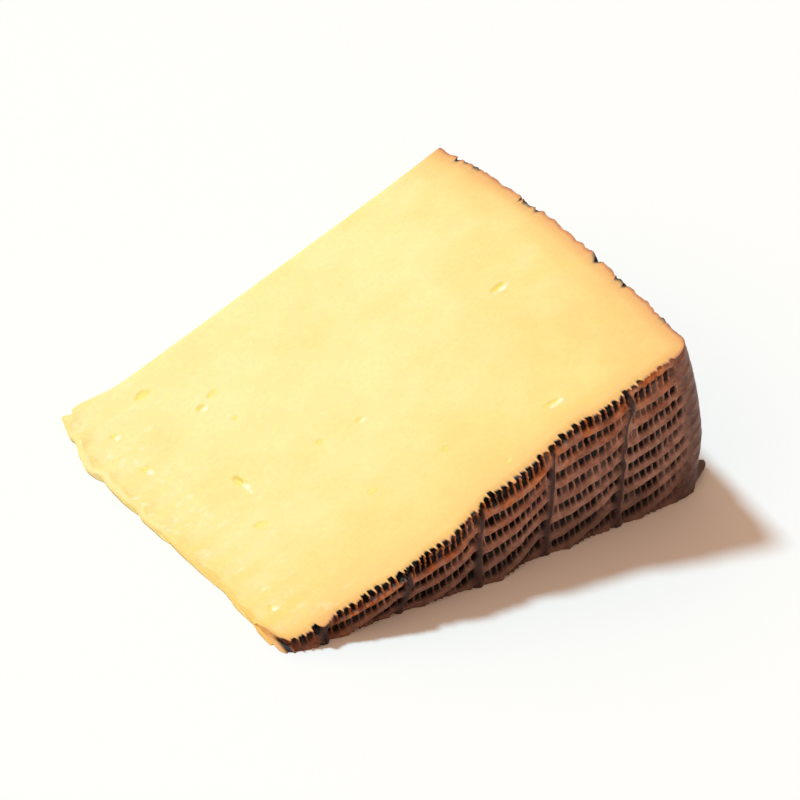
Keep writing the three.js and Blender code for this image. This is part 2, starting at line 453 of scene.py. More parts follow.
def lay_coats(
    tree: bpy.types.NodeTree, base: tuple | bpy.types.NodeSocket, *coats: tuple
) -> bpy.types.NodeSocket:
    """Lay coats of colour over each other.

    Args:
        tree: the node tree.
        base: the ground's linear colour, or its socket.
        coats: for each coat, the socket with its share and its colour, linear or a socket.

    Returns:
        The last coat's colour socket.
    """
    for share, coat in coats:
        settings, links = {"data_type": "RGBA"}, {0: share}
        for slot, colour in ((6, base), (7, coat)):  # inputs 6 and 7 are a mix node's two colours
            (settings if isinstance(colour, tuple) else links)[slot] = colour
        base = add_node(tree, "ShaderNodeMix", settings, links).outputs[2]
    return base


@dataclass(frozen=True)
class KnifeCutPaste:
    """Firm sheep's milk paste, cut with a wire or knife: ivory to butter yellow, waxy, a little translucent.

    The cut gives a satin face with a fine crumb of about 1 mm. Fat makes the colour cloud over 10 to 20 mm,
    and the paste turns ochre and peach in the last centimetre under the rind, where it has dried.
    """

    heart: str = "#FFE99C"
    butter: str = "#FFE38E"
    dry: str = "#FFCE5E"
    under_rind: str = "#F0B068"
    opening: str = "#FFE873"
    # Pale flecks and streaks on the cut; on the lifted flakes the pale is partly a painted highlight.
    fleck: str = "#FFF8D2"
    cloud_mm: float = 15.0
    cloud_detail: float = 3.0
    cloud_ramp: Ramp = (0.38, 0.66)
    crumb_mm: float = 1.1
    crumb_detail: float = 4.0
    crumb_ramp: Ramp = (0.3, 0.7)
    crumb_tones: Ramp = (0.965, 1.03)
    crumb_bump: float = 0.35
    crumb_height: float = 0.12 * MM
    roughness: float = 0.46
    ior: float = 1.45
    specular: float = 0.3
    softness: float = 0.4
    softness_at_edge: float = 0.06  # light would leak green through the thin edge
    edge_from: float = 0.4
    softness_under_rind: float = 0.1  # and grey from under the rind
    under_rind_by: float = 0.35

    def colour(self, tree: bpy.types.NodeTree) -> bpy.types.NodeSocket:
        """Colour the paste by its distance from the rind.

        Args:
            tree: the node tree to build in.

        Returns:
            The colour's output socket.
        """
        place = add_node(tree, "ShaderNodeTexCoord").outputs["Object"]
        under, dry = (
            add_node(tree, "ShaderNodeAttribute", {"attribute_name": mark}).outputs["Fac"]
            for mark in ("under", "dry")
        )
        scale = {"Scale": 1 / (self.cloud_mm * MM), "Detail": self.cloud_detail}
        cloud = add_node(tree, "ShaderNodeTexNoise", scale, {"Vector": place})
        ramp = dict(zip(("From Min", "From Max"), self.cloud_ramp))
        share = add_node(tree, "ShaderNodeMapRange", ramp, {"Value": cloud.outputs["Fac"]})
        return lay_coats(
            tree,
            linear(self.heart),
            (share.outputs["Result"], linear(self.butter)),
            (dry, linear(self.dry)),
            (under, linear(self.under_rind)),
        )

    def light_within(self, tree: bpy.types.NodeTree) -> bpy.types.NodeSocket:
        """Let light scatter in the paste, but little at the thin edge and under the rind.

        Args:
            tree: the node tree to build in.

        Returns:
            The scattering weight's output socket.
        """
        at_edge = {"From Min": self.edge_from, "To Min": self.softness, "To Max": self.softness_at_edge}
        at_rind = {"From Max": self.under_rind_by, "To Min": 1.0, "To Max": self.softness_under_rind}
        shares = {}
        for number, (mark, settings) in enumerate((("thin", at_edge), ("under", at_rind))):
            value = add_node(tree, "ShaderNodeAttribute", {"attribute_name": mark}).outputs["Fac"]
            mapped = add_node(tree, "ShaderNodeMapRange", settings, {"Value": value})
            shares[number] = mapped.outputs["Result"]
        return add_node(tree, "ShaderNodeMath", {"operation": "MULTIPLY"}, shares).outputs[0]

    def material(self) -> bpy.types.Material:
        """Build the paste's material from the mesh's marks under, dry, thin, hole and fleck.

        Returns:
            The material.
        """
        material, tree = new_material("knife_cut_paste")
        place = add_node(tree, "ShaderNodeTexCoord").outputs["Object"]
        hole, fleck = (
            add_node(tree, "ShaderNodeAttribute", {"attribute_name": mark}).outputs["Fac"]
            for mark in ("hole", "fleck")
        )
        scale = {"Scale": 1 / (self.crumb_mm * MM), "Detail": self.crumb_detail}
        crumb = add_node(tree, "ShaderNodeTexNoise", scale, {"Vector": place}).outputs["Fac"]
        coats = lay_coats(tree, self.colour(tree), (hole, linear(self.opening)), (fleck, linear(self.fleck)))
        ramp = dict(zip(("From Min", "From Max", "To Min", "To Max"), self.crumb_ramp + self.crumb_tones))
        speck = add_node(tree, "ShaderNodeMapRange", ramp, {"Value": crumb}).outputs["Result"]
        tone = add_node(tree, "ShaderNodeVectorMath", {"operation": "SCALE"}, {0: coats, "Scale": speck})
        relief = {"Strength": self.crumb_bump, "Distance": self.crumb_height}
        bump = add_node(tree, "ShaderNodeBump", relief, {"Height": crumb})
        shader = add_node(
            tree,
            "ShaderNodeBsdfPrincipled",
            {
                "Roughness": self.roughness,
                "IOR": self.ior,
                "Specular IOR Level": self.specular,
                **PASTE_SCATTER,
            },
            {
                "Base Color": tone.outputs[0],
                "Normal": bump.outputs["Normal"],
                "Subsurface Weight": self.light_within(tree),
            },
        )
        add_node(tree, "ShaderNodeOutputMaterial", links={"Surface": shader.outputs["BSDF"]})
        return material


@dataclass(frozen=True)
class WovenMouldRind:
    """Natural rind printed by a woven mould, then waxed dark: brown-mauve ridges with a dull shine.

    The pits read almost black: partly wax and mould gathered there, partly painted shade that deepens
    with the pit. By the cut the rind carries a painted glow, as of light coming through the thin rind over
    the paste's orange, and towards its foot it is darkened by painted shade. The fibres' relief is drawn
    0.35 mm wide, coarser than real thread, so that it shows.
    """

    ridge: str = "#835D4E"
    ridge_light: str = "#BC9181"
    fold: str = "#3F2B27"
    # Near-black of the pits: partly wax and mould, partly painted shade that grows with the pit.
    pit: str = "#0B0605"
    # Painted glow by the cut, as of light coming through the thin rind over the paste's orange.
    glow: str = "#B8500F"
    glow_pale: str = "#F0902F"
    # Painted shade: the rind darkens towards the floor.
    floor_shade: str = "#3B2A25"
    mottle_mm: float = 2.5
    mottle_detail: float = 6.0
    mottle_ramp: Ramp = (0.36, 0.68)
    mottle_roughness: float = 0.72
    fibre_mm: float = 0.35
    fibre_detail: float = 3.0
    fibre_bump: float = 0.6
    fibre_height: float = 0.25 * MM
    pit_ramp: Ramp = (0.12, 0.6)
    floor_shade_most: float = 0.62
    roughness: float = 0.44
    ior: float = 1.45
    specular: float = 0.3
    softness: float = 0.04  # only where the rind is cut through
    paste: KnifeCutPaste = KnifeCutPaste()

    def colour(self, tree: bpy.types.NodeTree, place: bpy.types.NodeSocket) -> bpy.types.NodeSocket:
        """Colour ridges, folds and pits, paint the glow by the cut and the shade towards the foot, and show
        the paste where the rind is cut through.

        Args:
            tree: the node tree to build in.
            place: socket with the place on the object.

        Returns:
            The colour's output socket.
        """
        pit, fold, glow, flesh, low = (
            add_node(tree, "ShaderNodeAttribute", {"attribute_name": mark}).outputs["Fac"]
            for mark in ("pit", "fold", "glow", "flesh", "low")
        )
        scale = {"Scale": 1 / (self.mottle_mm * MM), "Detail": self.mottle_detail}
        scale["Roughness"] = self.mottle_roughness
        mottle = add_node(tree, "ShaderNodeTexNoise", scale, {"Vector": place}).outputs["Fac"]
        share, floor_shaded, deep = (
            add_node(tree, "ShaderNodeMapRange", settings, {"Value": value}).outputs["Result"]
            for settings, value in (
                (dict(zip(("From Min", "From Max"), self.mottle_ramp)), mottle),
                # low darkens the lower rind: painted shade towards the floor.
                ({"To Max": self.floor_shade_most}, low),
                # The pit mark sets the near-black: partly wax and mould, partly painted shade.
                (dict(zip(("From Min", "From Max"), self.pit_ramp)), pit),
            )
        )
        # orange: the painted glow by the cut.
        orange = lay_coats(tree, linear(self.glow), (share, linear(self.glow_pale)))
        return lay_coats(
            tree,
            linear(self.ridge),
            (share, linear(self.ridge_light)),
            (glow, orange),
            (floor_shaded, linear(self.floor_shade)),
            (fold, linear(self.fold)),
            (deep, linear(self.pit)),
            (flesh, self.paste.colour(tree)),
        )

    def material(self) -> bpy.types.Material:
        """Build the rind's material from the mesh's marks pit, fold, glow, flesh, low, under and dry.

        Returns:
            The material.
        """
        material, tree = new_material("woven_mould_rind")
        place = add_node(tree, "ShaderNodeTexCoord").outputs["Object"]
        flesh = add_node(tree, "ShaderNodeAttribute", {"attribute_name": "flesh"}).outputs["Fac"]
        soft = add_node(tree, "ShaderNodeMapRange", {"To Max": self.softness}, {"Value": flesh})
        scale = {"Scale": 1 / (self.fibre_mm * MM), "Detail": self.fibre_detail}
        fibre = add_node(tree, "ShaderNodeTexNoise", scale, {"Vector": place})
        relief = {"Strength": self.fibre_bump, "Distance": self.fibre_height}
        bump = add_node(tree, "ShaderNodeBump", relief, {"Height": fibre.outputs["Fac"]})
        shader = add_node(
            tree,
            "ShaderNodeBsdfPrincipled",
            {
                "Roughness": self.roughness,
                "IOR": self.ior,
                "Specular IOR Level": self.specular,
                **PASTE_SCATTER,
            },
            {
                "Base Color": self.colour(tree, place),
                "Normal": bump.outputs["Normal"],
                "Subsurface Weight": soft.outputs["Result"],
            },
        )
        add_node(tree, "ShaderNodeOutputMaterial", links={"Surface": shader.outputs["BSDF"]})
        return material


@dataclass(frozen=True)
class PaintedBoard:
    """Matt white painted board: an even pale ground that takes soft shadows."""

    paint: str = "#FAFAF6"
    roughness: float = 0.9

    def material(self) -> bpy.types.Material:
        """Build the board's material.

        Returns:
            The material.
        """
        material, tree = new_material("painted_board")
        settings = {"Base Color": linear(self.paint), "Roughness": self.roughness}
        shader = add_node(tree, "ShaderNodeBsdfPrincipled", settings)
        add_node(tree, "ShaderNodeOutputMaterial", links={"Surface": shader.outputs["BSDF"]})
        return material


# Meshes

SHARP_FROM = np.radians(50)  # edges that turn by more than this are drawn sharp


@dataclass
class Skin:
    """Vertices, faces and per-vertex marks of one piece, gathered patch by patch."""

    points: list[Array] = field(default_factory=list)
    faces: list[list[int]] = field(default_factory=list)
    marks: dict[str, list[Array]] = field(default_factory=dict)
    count: int = 0

    def add(self, points: Array, **marks: Array | float) -> Array:
        """Add vertices.

        Args:
            points: an array whose last axis is x, y, z, in mm of the wheel frame.
            marks: values from 0 to 1, of the same leading shape or the same all over.

        Returns:
            The vertices' numbers, in the leading shape.
        """
        shape = points.shape[:-1]
        size = int(np.prod(shape))
        self.points.append(points.reshape(-1, 3))
        for name, value in marks.items():
            self.marks.setdefault(name, []).append(np.broadcast_to(value, shape).reshape(-1))
        numbers = np.arange(self.count, self.count + size).reshape(shape)
        self.count += size
        return numbers

    def quads(self, numbers: Array, flip: bool = False) -> None:
        """Face a grid of vertices.

        Args:
            numbers: the vertices' numbers, as a grid.
            flip: turn the faces over.
        """
        a, b, c, d = numbers[:-1, :-1], numbers[1:, :-1], numbers[1:, 1:], numbers[:-1, 1:]
        order = (a, d, c, b) if flip else (a, b, c, d)
        self.faces.extend(np.stack([p.reshape(-1) for p in order], 1).tolist())

    def polygon(self, numbers: Array, flip: bool = False) -> None:
        """Face one loop of vertices.

        Args:
            numbers: the vertices' numbers, in order round the loop.
            flip: turn the face over.
        """
        loop = [int(n) for n in numbers]
        self.faces.append(loop[::-1] if flip else loop)

    def build(self, name: str) -> bpy.types.Object:
        """Make the object, in metres of the row frame.

        Args:
            name: the piece's name.

        Returns:
            The new object, linked to the scene.
        """
        mesh = bpy.data.meshes.new(name)
        places = (np.concatenate(self.points) - FRAME_ORIGIN) * MM
        mesh.from_pydata(places.tolist(), [], self.faces)
        mesh.validate()
        for key, parts in self.marks.items():
            layer = mesh.attributes.new(key, "FLOAT", "POINT")
            layer.data.foreach_set("value", np.concatenate(parts).astype(np.float32))
        mesh.polygons.foreach_set("use_smooth", np.ones(len(mesh.polygons), bool))
        mesh.set_sharp_from_angle(angle=SHARP_FROM)
        mesh.update()
        piece = bpy.data.objects.new(name, mesh)
        bpy.context.scene.collection.objects.link(piece)
        return piece


@dataclass(frozen=True)
class Drying:
    """How the paste has dried in from the rind, and how thin it gets at the edge. Lengths are in mm."""

    wheel: WheelForm
    cuts: CutForm
    border: float = 3.2
    from_flat: float = 27.0
    from_side: float = 10.0
    side_share: float = 0.92
    side_weight: float = 0.95
    thin_reach: float = 26.0
    broad_wave: Grain = Grain(13.0, 301, 0.35)
    fine_wave: Grain = Grain(4.0, 302, 0.2)
    least: float = 0.001  # keeps the corner between flat face and side from dividing by nothing

    def marks(self, points: Array) -> dict[str, Array]:
        """Measure what colours the paste.

        Args:
            points: places in mm of the wheel frame.

        Returns:
            Arrays named under (close to the rind), dry (drying in from it) and thin (near the thin edge).
        """
        x, y, z = points[..., 0], points[..., 1], points[..., 2]
        out = np.hypot(x, z)
        flat = np.maximum(0, y - self.wheel.flat_face(x, z, self.cuts))
        side = np.maximum(0, self.wheel.side_radius(y) - out)
        wave = 1 + self.broad_wave.at(x, y) + self.fine_wave.at(x, y)
        weighted = side * self.side_weight
        near = flat * weighted / (flat + weighted + self.least)
        moist_flat = 1 - np.exp(-flat / (self.from_flat * wave))
        moist_side = 1 - self.side_share * np.exp(-side / (self.from_side * wave))
        return {
            "under": np.exp(-near / (self.border * wave)),
            "dry": 1 - moist_flat * moist_side,
            "thin": np.exp(-out / self.thin_reach),
        }


# The rind


@dataclass(frozen=True)
class Weave:
    """The mould's weave: rows between ridges, and in each row slanting pits parted by thin bars.

    Depths are in mm below the ridges. Shares are of a row's height, or of the pitch from pit to pit.
    """

    seed: int
    pit_pitch: float = 1.45
    pit_depth: float = 1.45
    pit_reach: Ramp = (0.66, 1.2)
    pit_start: Ramp = (0.10, 0.46)
    pit_end: Ramp = (0.86, 0.975)
    bar_depth: float = 0.4
    bar_share: float = 0.24
    bar_share_range: Ramp = (0.7, 1.35)
    bar_flank: Ramp = (1.5, 0.45)
    bar_lean: float = 0.476  # how far a bar leans over the height of its row
    row_shift: float = 0.37
    ridge_height: float = 0.28
    ridge_width: float = 0.075
    wander_size: float = 6.0
    wander: float = 0.25
    row_lane: float = 5.0  # each row reads a lane of its own in the random pattern
    chance_steps: tuple[int, int] = (3, 5)  # seeds, past the weave's own, for pit depth and bar width

    def relief(self, across: Array, q: Array, opened: Array | float = 0.0) -> tuple[Array, Array]:
        """Print the weave.

        Args:
            across: distance along the row, mm.
            q: row number with its fraction, rising from one ridge to the next.
            opened: 0 to 1 where the knife has cut the ridge away, which leaves teeth.

        Returns:
            Depth below the ridges in mm, and 0 to 1 for how much of a pit a point is.
        """
        row = np.floor(q)
        f = q - row
        wander = Grain(self.wander_size, self.seed, self.wander).at(across, row * self.row_lane)
        p = across / self.pit_pitch + self.bar_lean * (f - 0.5) + wander + self.row_shift * row
        cell = np.floor(p)
        t = np.abs(p - cell - 0.5) * 2.0  # 0 in the middle of a pit, 1 on a bar
        deep_chance, bar_chance = (hashed(cell, row, self.seed + step) for step in self.chance_steps)
        reach = blend(*self.pit_reach, deep_chance)
        share = self.bar_share * blend(*self.bar_share_range, bar_chance)
        foot, crest = self.bar_flank
        bar = smooth(1 - share * foot, 1 - share * crest, t)
        sunk = np.maximum(smooth(*self.pit_start, f) * (1 - smooth(*self.pit_end, f)), opened)
        pit = sunk * (1 - bar)
        depth = pit * self.pit_depth * reach + sunk * bar * self.bar_depth
        ridge = self.ridge_height * hump(np.minimum(f, 1 - f), 0.0, self.ridge_width) * (1 - opened)
        return depth - ridge, np.clip(pit * reach, 0, 1)


@dataclass
class Relief:
    """What is printed on a patch: depth in mm below the smooth form, and 0 to 1 for pit and for fold."""

    depth: Array
    pit: Array
    fold: Array


@dataclass(frozen=True)
class FlatRelief:
    """Relief of the flat face: folds, rows of pits, the edge torn by the knife, and the crumpled thin tip.

    Ramps are in mm: of height over the floor, of depth below the upper cut, or of distance along the face.
    """

    wheel: WheelForm
    cuts: CutForm
    weave: Weave = Weave(seed=21)
    level: float = 0.3  # how far the face is set back, to make room for the bulge between two folds
    bulge: float = 0.45
    bulge_lumps: Grain = Grain(2.2, 41, 0.16)
    rough: Grain = Grain(1.0, 36, 0.2)
    no_fold: float = 99.0  # past the last fold there is none to the right
    fold_flank: Grain = Grain(3.3, 12, 0.35)
    fold_crest: float = 0.15
    fold_breadth: Ramp = (0.42, 0.85)
    fold_breadth_ramp: Ramp = (24.0, 0.0)
    fold_lumps: Grain = Grain(2.0, 43, 0.5)
    fold_torn: Ramp = (-0.6, 2.4)
    clear_right: Ramp = (0.5, 2.6)
    clear_left: Ramp = (0.2, 0.9)
    clear_of_rim: Ramp = (-0.5, 3.0)
    teeth_below: Ramp = (0.9, 1.7)
    teeth_from: Ramp = (9.0, 15.0)
    teeth_to: Ramp = (76.0, 80.0)
    teeth_patches: Patches = Patches(Grain(3.1, 33), (-0.5, 0.4), 0.75)
    teeth_over_fold: float = 0.75
    teeth_over_fold_below: Ramp = (0.6, 1.6)
    teeth_over_fold_from: Ramp = (14.0, 18.0)
    last_row_top: Ramp = (0.9, 1.3)
    last_row_foot: Ramp = (2.4, 3.1)
    last_row_from: Ramp = (79.0, 82.0)
    last_row_deeper: float = 0.4
    pit_patches: Patches = Patches(Grain(5.5, 31), (-0.35, 0.2), 0.7)
    pit_least_floor: float = 0.35
    pit_floor_ramp: Ramp = (0.6, 1.9)
    pit_least_tip: float = 0.5
    pit_tip_ramp: Ramp = (5.0, 13.0)
    pit_strength: Ramp = (1.2, 0.88)
    pit_strength_ramp: Ramp = (40.0, 75.0)
    edge_below: Ramp = (0.2, 2.2)
    edge_pit_depth: float = 1.9
    edge_ragged: Grain = Grain(0.7, 34, 0.4)
    edge_ragged_to: Ramp = (92.0, 97.0)
    tip_ramp: Ramp = (7.5, 12.0)
    tip_crumple: Grain = Grain(1.7, 35)
    tip_crumple_height: float = 0.8
    tip_crumple_squeeze: float = 1.5
    # crumple heights over which the tip's hollows take painted shade
    tip_hollow_shade: Ramp = (0.0, 0.4)

    def opened(self, x: Array, below: Array) -> tuple[Array, Array]:
        """Find where the knife has opened the weave: as teeth along the cut, and near the rim a whole row.

        Args:
            x: distance from the axis line, mm.
            below: depth below the upper cut, mm.

        Returns:
            0 to 1 for the opening, and 0 to 1 for the whole row alone.
        """
        teeth = 1 - smooth(*self.teeth_below, below)
        teeth = teeth * smooth(*self.teeth_from, x) * (1 - smooth(*self.teeth_to, x))
        row = smooth(*self.last_row_top, below) * (1 - smooth(*self.last_row_foot, below))
        row = row * smooth(*self.last_row_from, x)
        patches = self.teeth_patches.at(x, np.zeros_like(x))
        return np.maximum(teeth, row) * patches, row

    def strength(self, x: Array, z: Array, rim_x: Array, last_row: Array) -> Array:
        """Say how deep the pits are, apart from the folds' effect on them.

        Args:
            x: distance from the axis line, mm.
            z: height over the floor, mm.
            rim_x: where the rim starts at that height.
            last_row: 0 to 1 on the row that the knife has opened near the rim.

        Returns:
            A share of the full depth.
        """
        share = self.pit_patches.at(x, z) * smooth(*self.clear_of_rim, rim_x - x)
        share = share * blend(self.pit_least_floor, 1.0, smooth(*self.pit_floor_ramp, z))
        share = share * blend(self.pit_least_tip, 1.0, smooth(*self.pit_tip_ramp, x))
        share = share * blend(*self.pit_strength, smooth(*self.pit_strength_ramp, x))
        return share * (1 + self.last_row_deeper * last_row)

    def at(self, x: Array, z: Array, rim_x: Array) -> Relief:
        """Work out the relief.

        Args:
            x: distance from the axis line, mm.
            z: height over the floor, mm.
            rim_x: where the rim starts at that height.

        Returns:
            The flat face's relief.
        """
        wheel = self.wheel
        below = self.cuts.upper(x, np.zeros_like(x)) - z
        z = np.maximum(z, wheel.pressed)
        n, s = wheel.band(x, z)
        # Distance from the fold on the left, and from the one on the right.
        left = s * wheel.fold_pitch
        right = np.where(n < wheel.last_band, (1 - s) * wheel.fold_pitch, self.no_fold)
        away = np.minimum(left, right) + self.fold_flank.at(x, z)
        foot = wheel.fold_width * blend(*self.fold_breadth, smooth(*self.fold_breadth_ramp, z))
        fold = 1 - smooth(self.fold_crest, foot, away)
        raised = wheel.fold_height * fold * (1 + self.fold_lumps.at(x, z)) * smooth(*self.fold_torn, below)
        opened, last_row = self.opened(x, below)
        depth, pit = self.weave.relief(x, wheel.row_number(x, z), opened)
        clear = smooth(*self.clear_right, left) * smooth(*self.clear_left, right)
        over = (1 - smooth(*self.teeth_over_fold_below, below)) * smooth(*self.teeth_over_fold_from, x)
        clear = blend(clear, 1.0, self.teeth_over_fold * over)
        pits = clear * self.strength(x, z, rim_x, last_row)
        edge = 1 - smooth(*self.edge_below, below)
        deeper = 1 + (self.edge_pit_depth / self.weave.pit_depth - 1) * edge
        sunk = np.maximum(depth, 0) * pits * deeper + np.minimum(depth, 0) * clear
        ragged = edge * self.edge_ragged.at(x, z) * (1 - smooth(*self.edge_ragged_to, x))
        # The thin tip of the rind is crumpled rather than woven, and its hollows are painted near-black as
        # shade.
        tip = 1 - smooth(*self.tip_ramp, x)
        crumple = self.tip_crumple.crumbled(x, z * self.tip_crumple_squeeze)
        ragged = ragged + self.rough.crumbled(x, z) + tip * self.tip_crumple_height * crumple
        bulge = self.bulge * np.sin(np.pi * np.clip(s, 0, 1)) + self.bulge_lumps.at(x, z)
        pit = np.maximum(pit * pits, tip * smooth(*self.tip_hollow_shade, crumple))
        return Relief(sunk - raised - bulge + self.level + ragged, pit, fold)


@dataclass(frozen=True)
class SideRelief:
    """Relief of the curved side: rows of pits round it, folds, and the wear beside the upper cut.

    Ramps are in mm, apart from the rows' fade beside a fold, which is in shares of the fold's pitch.
    """

    wheel: WheelForm
    cuts: CutForm
    weave: Weave = Weave(seed=61)
    row_pitch: float = 3.9
    row_wander: Grain = Grain(8.0, 51, 0.3)
    row_slant: float = 1.5
    fold_start: float = 8.0
    fold_crest: float = 0.25
    fold_breadth: float = 0.62
    rim_clear: Ramp = (7.5, 11.5)
    clear_right: Ramp = (0.03, 0.12)
    clear_left: Ramp = (0.0, 0.04)
    pit_share: float = 0.85
    lumps: Grain = Grain(2.4, 71, 0.2)
    worn_ramp: Ramp = (-3.2, -0.3)
    worn_most: float = 0.86
    worn_fold_height: float = 0.7
    worn_fold_tone: float = 0.6
    worn_lumps: Grain = Grain(1.7, 75, 0.3)
    nick_broad: Patches = Patches(Grain(3.7, 73), (-0.05, 0.5))
    nick_fine: Patches = Patches(Grain(0.9, 74), (-0.15, 0.3))
    nick_depth: float = 0.35
    nick_spares: float = 0.5

    def at(self, y: Array, arc: Array) -> Relief:
        """Work out the relief.

        Args:
            y: distance from the flat face, mm.
            arc: distance round the side, mm.

        Returns:
            The curved side's relief.
        """
        wheel = self.wheel
        s = np.mod(arc - self.fold_start, wheel.fold_pitch) / wheel.fold_pitch
        away = np.minimum(s, 1 - s) * wheel.fold_pitch
        start = smooth(*self.rim_clear, y)
        fold = (1 - smooth(self.fold_crest, wheel.fold_width * self.fold_breadth, away)) * start
        q = (y + self.row_wander.at(y, arc) + self.row_slant * s) / self.row_pitch
        depth, pit = self.weave.relief(arc, q)
        share = smooth(*self.clear_right, s) * smooth(*self.clear_left, 1 - s) * start
        worn = smooth(*self.worn_ramp, arc - wheel.radius * self.cuts.angle)
        nick = self.nick_broad.at(y, arc) * self.nick_fine.at(y, arc)
        kept = 1 - worn * (self.worn_most - self.nick_spares * nick)
        lumps = self.lumps.at(y, arc) + worn * (self.worn_lumps.line(y) - self.nick_depth * nick)
        raised = wheel.fold_height * fold * (1 - self.worn_fold_height * worn)
        return Relief(
            depth=self.pit_share * depth * share * kept - raised - lumps,
            pit=np.maximum(pit * share * kept, worn * nick),
            fold=fold * (1 - self.worn_fold_tone * worn),
        )


@dataclass(frozen=True)
class RimForm:
    """The rim's smooth form, with one column for each of the shell's lines."""

    x: Array  # where each line meets the rim: distance from the axis line, y and height
    y: Array
    z: Array
    rounding: Array  # the rim's radius
    turn: Array  # the angle round the rim, from flat face to side

    @property
    def hub(self) -> Array:
        """Distance of the rounding's centre from the axis."""
        return np.hypot(self.x, self.z)

    @property
    def angle(self) -> Array:
        """Angle of each line round the axis, which rim and side keep."""
        return np.arctan2(self.z, self.x)

    @property
    def end_y(self) -> Array:
        """Where the rim ends and the side starts along the axis."""
        return self.y + self.rounding

    def place(self, out: Array, y: Array) -> Array:
        """Place points of rim or side by their distance from the axis and their y."""
        return np.stack([out * np.cos(self.angle), y, out * np.sin(self.angle)], -1)


@dataclass(frozen=True)
class SmoothForm:
    """The rind's form before its relief, on lines that run from the thin tip over the rim to the far cut."""

    height: Array  # each line's place between floor and upper cut, 0 to 1
    x: Array  # the flat face: distance from the axis line, y and height
    flat_y: Array
    z: Array
    rim: RimForm
    side_y: Array  # the side: y, and distance from the axis
    side_out: Array


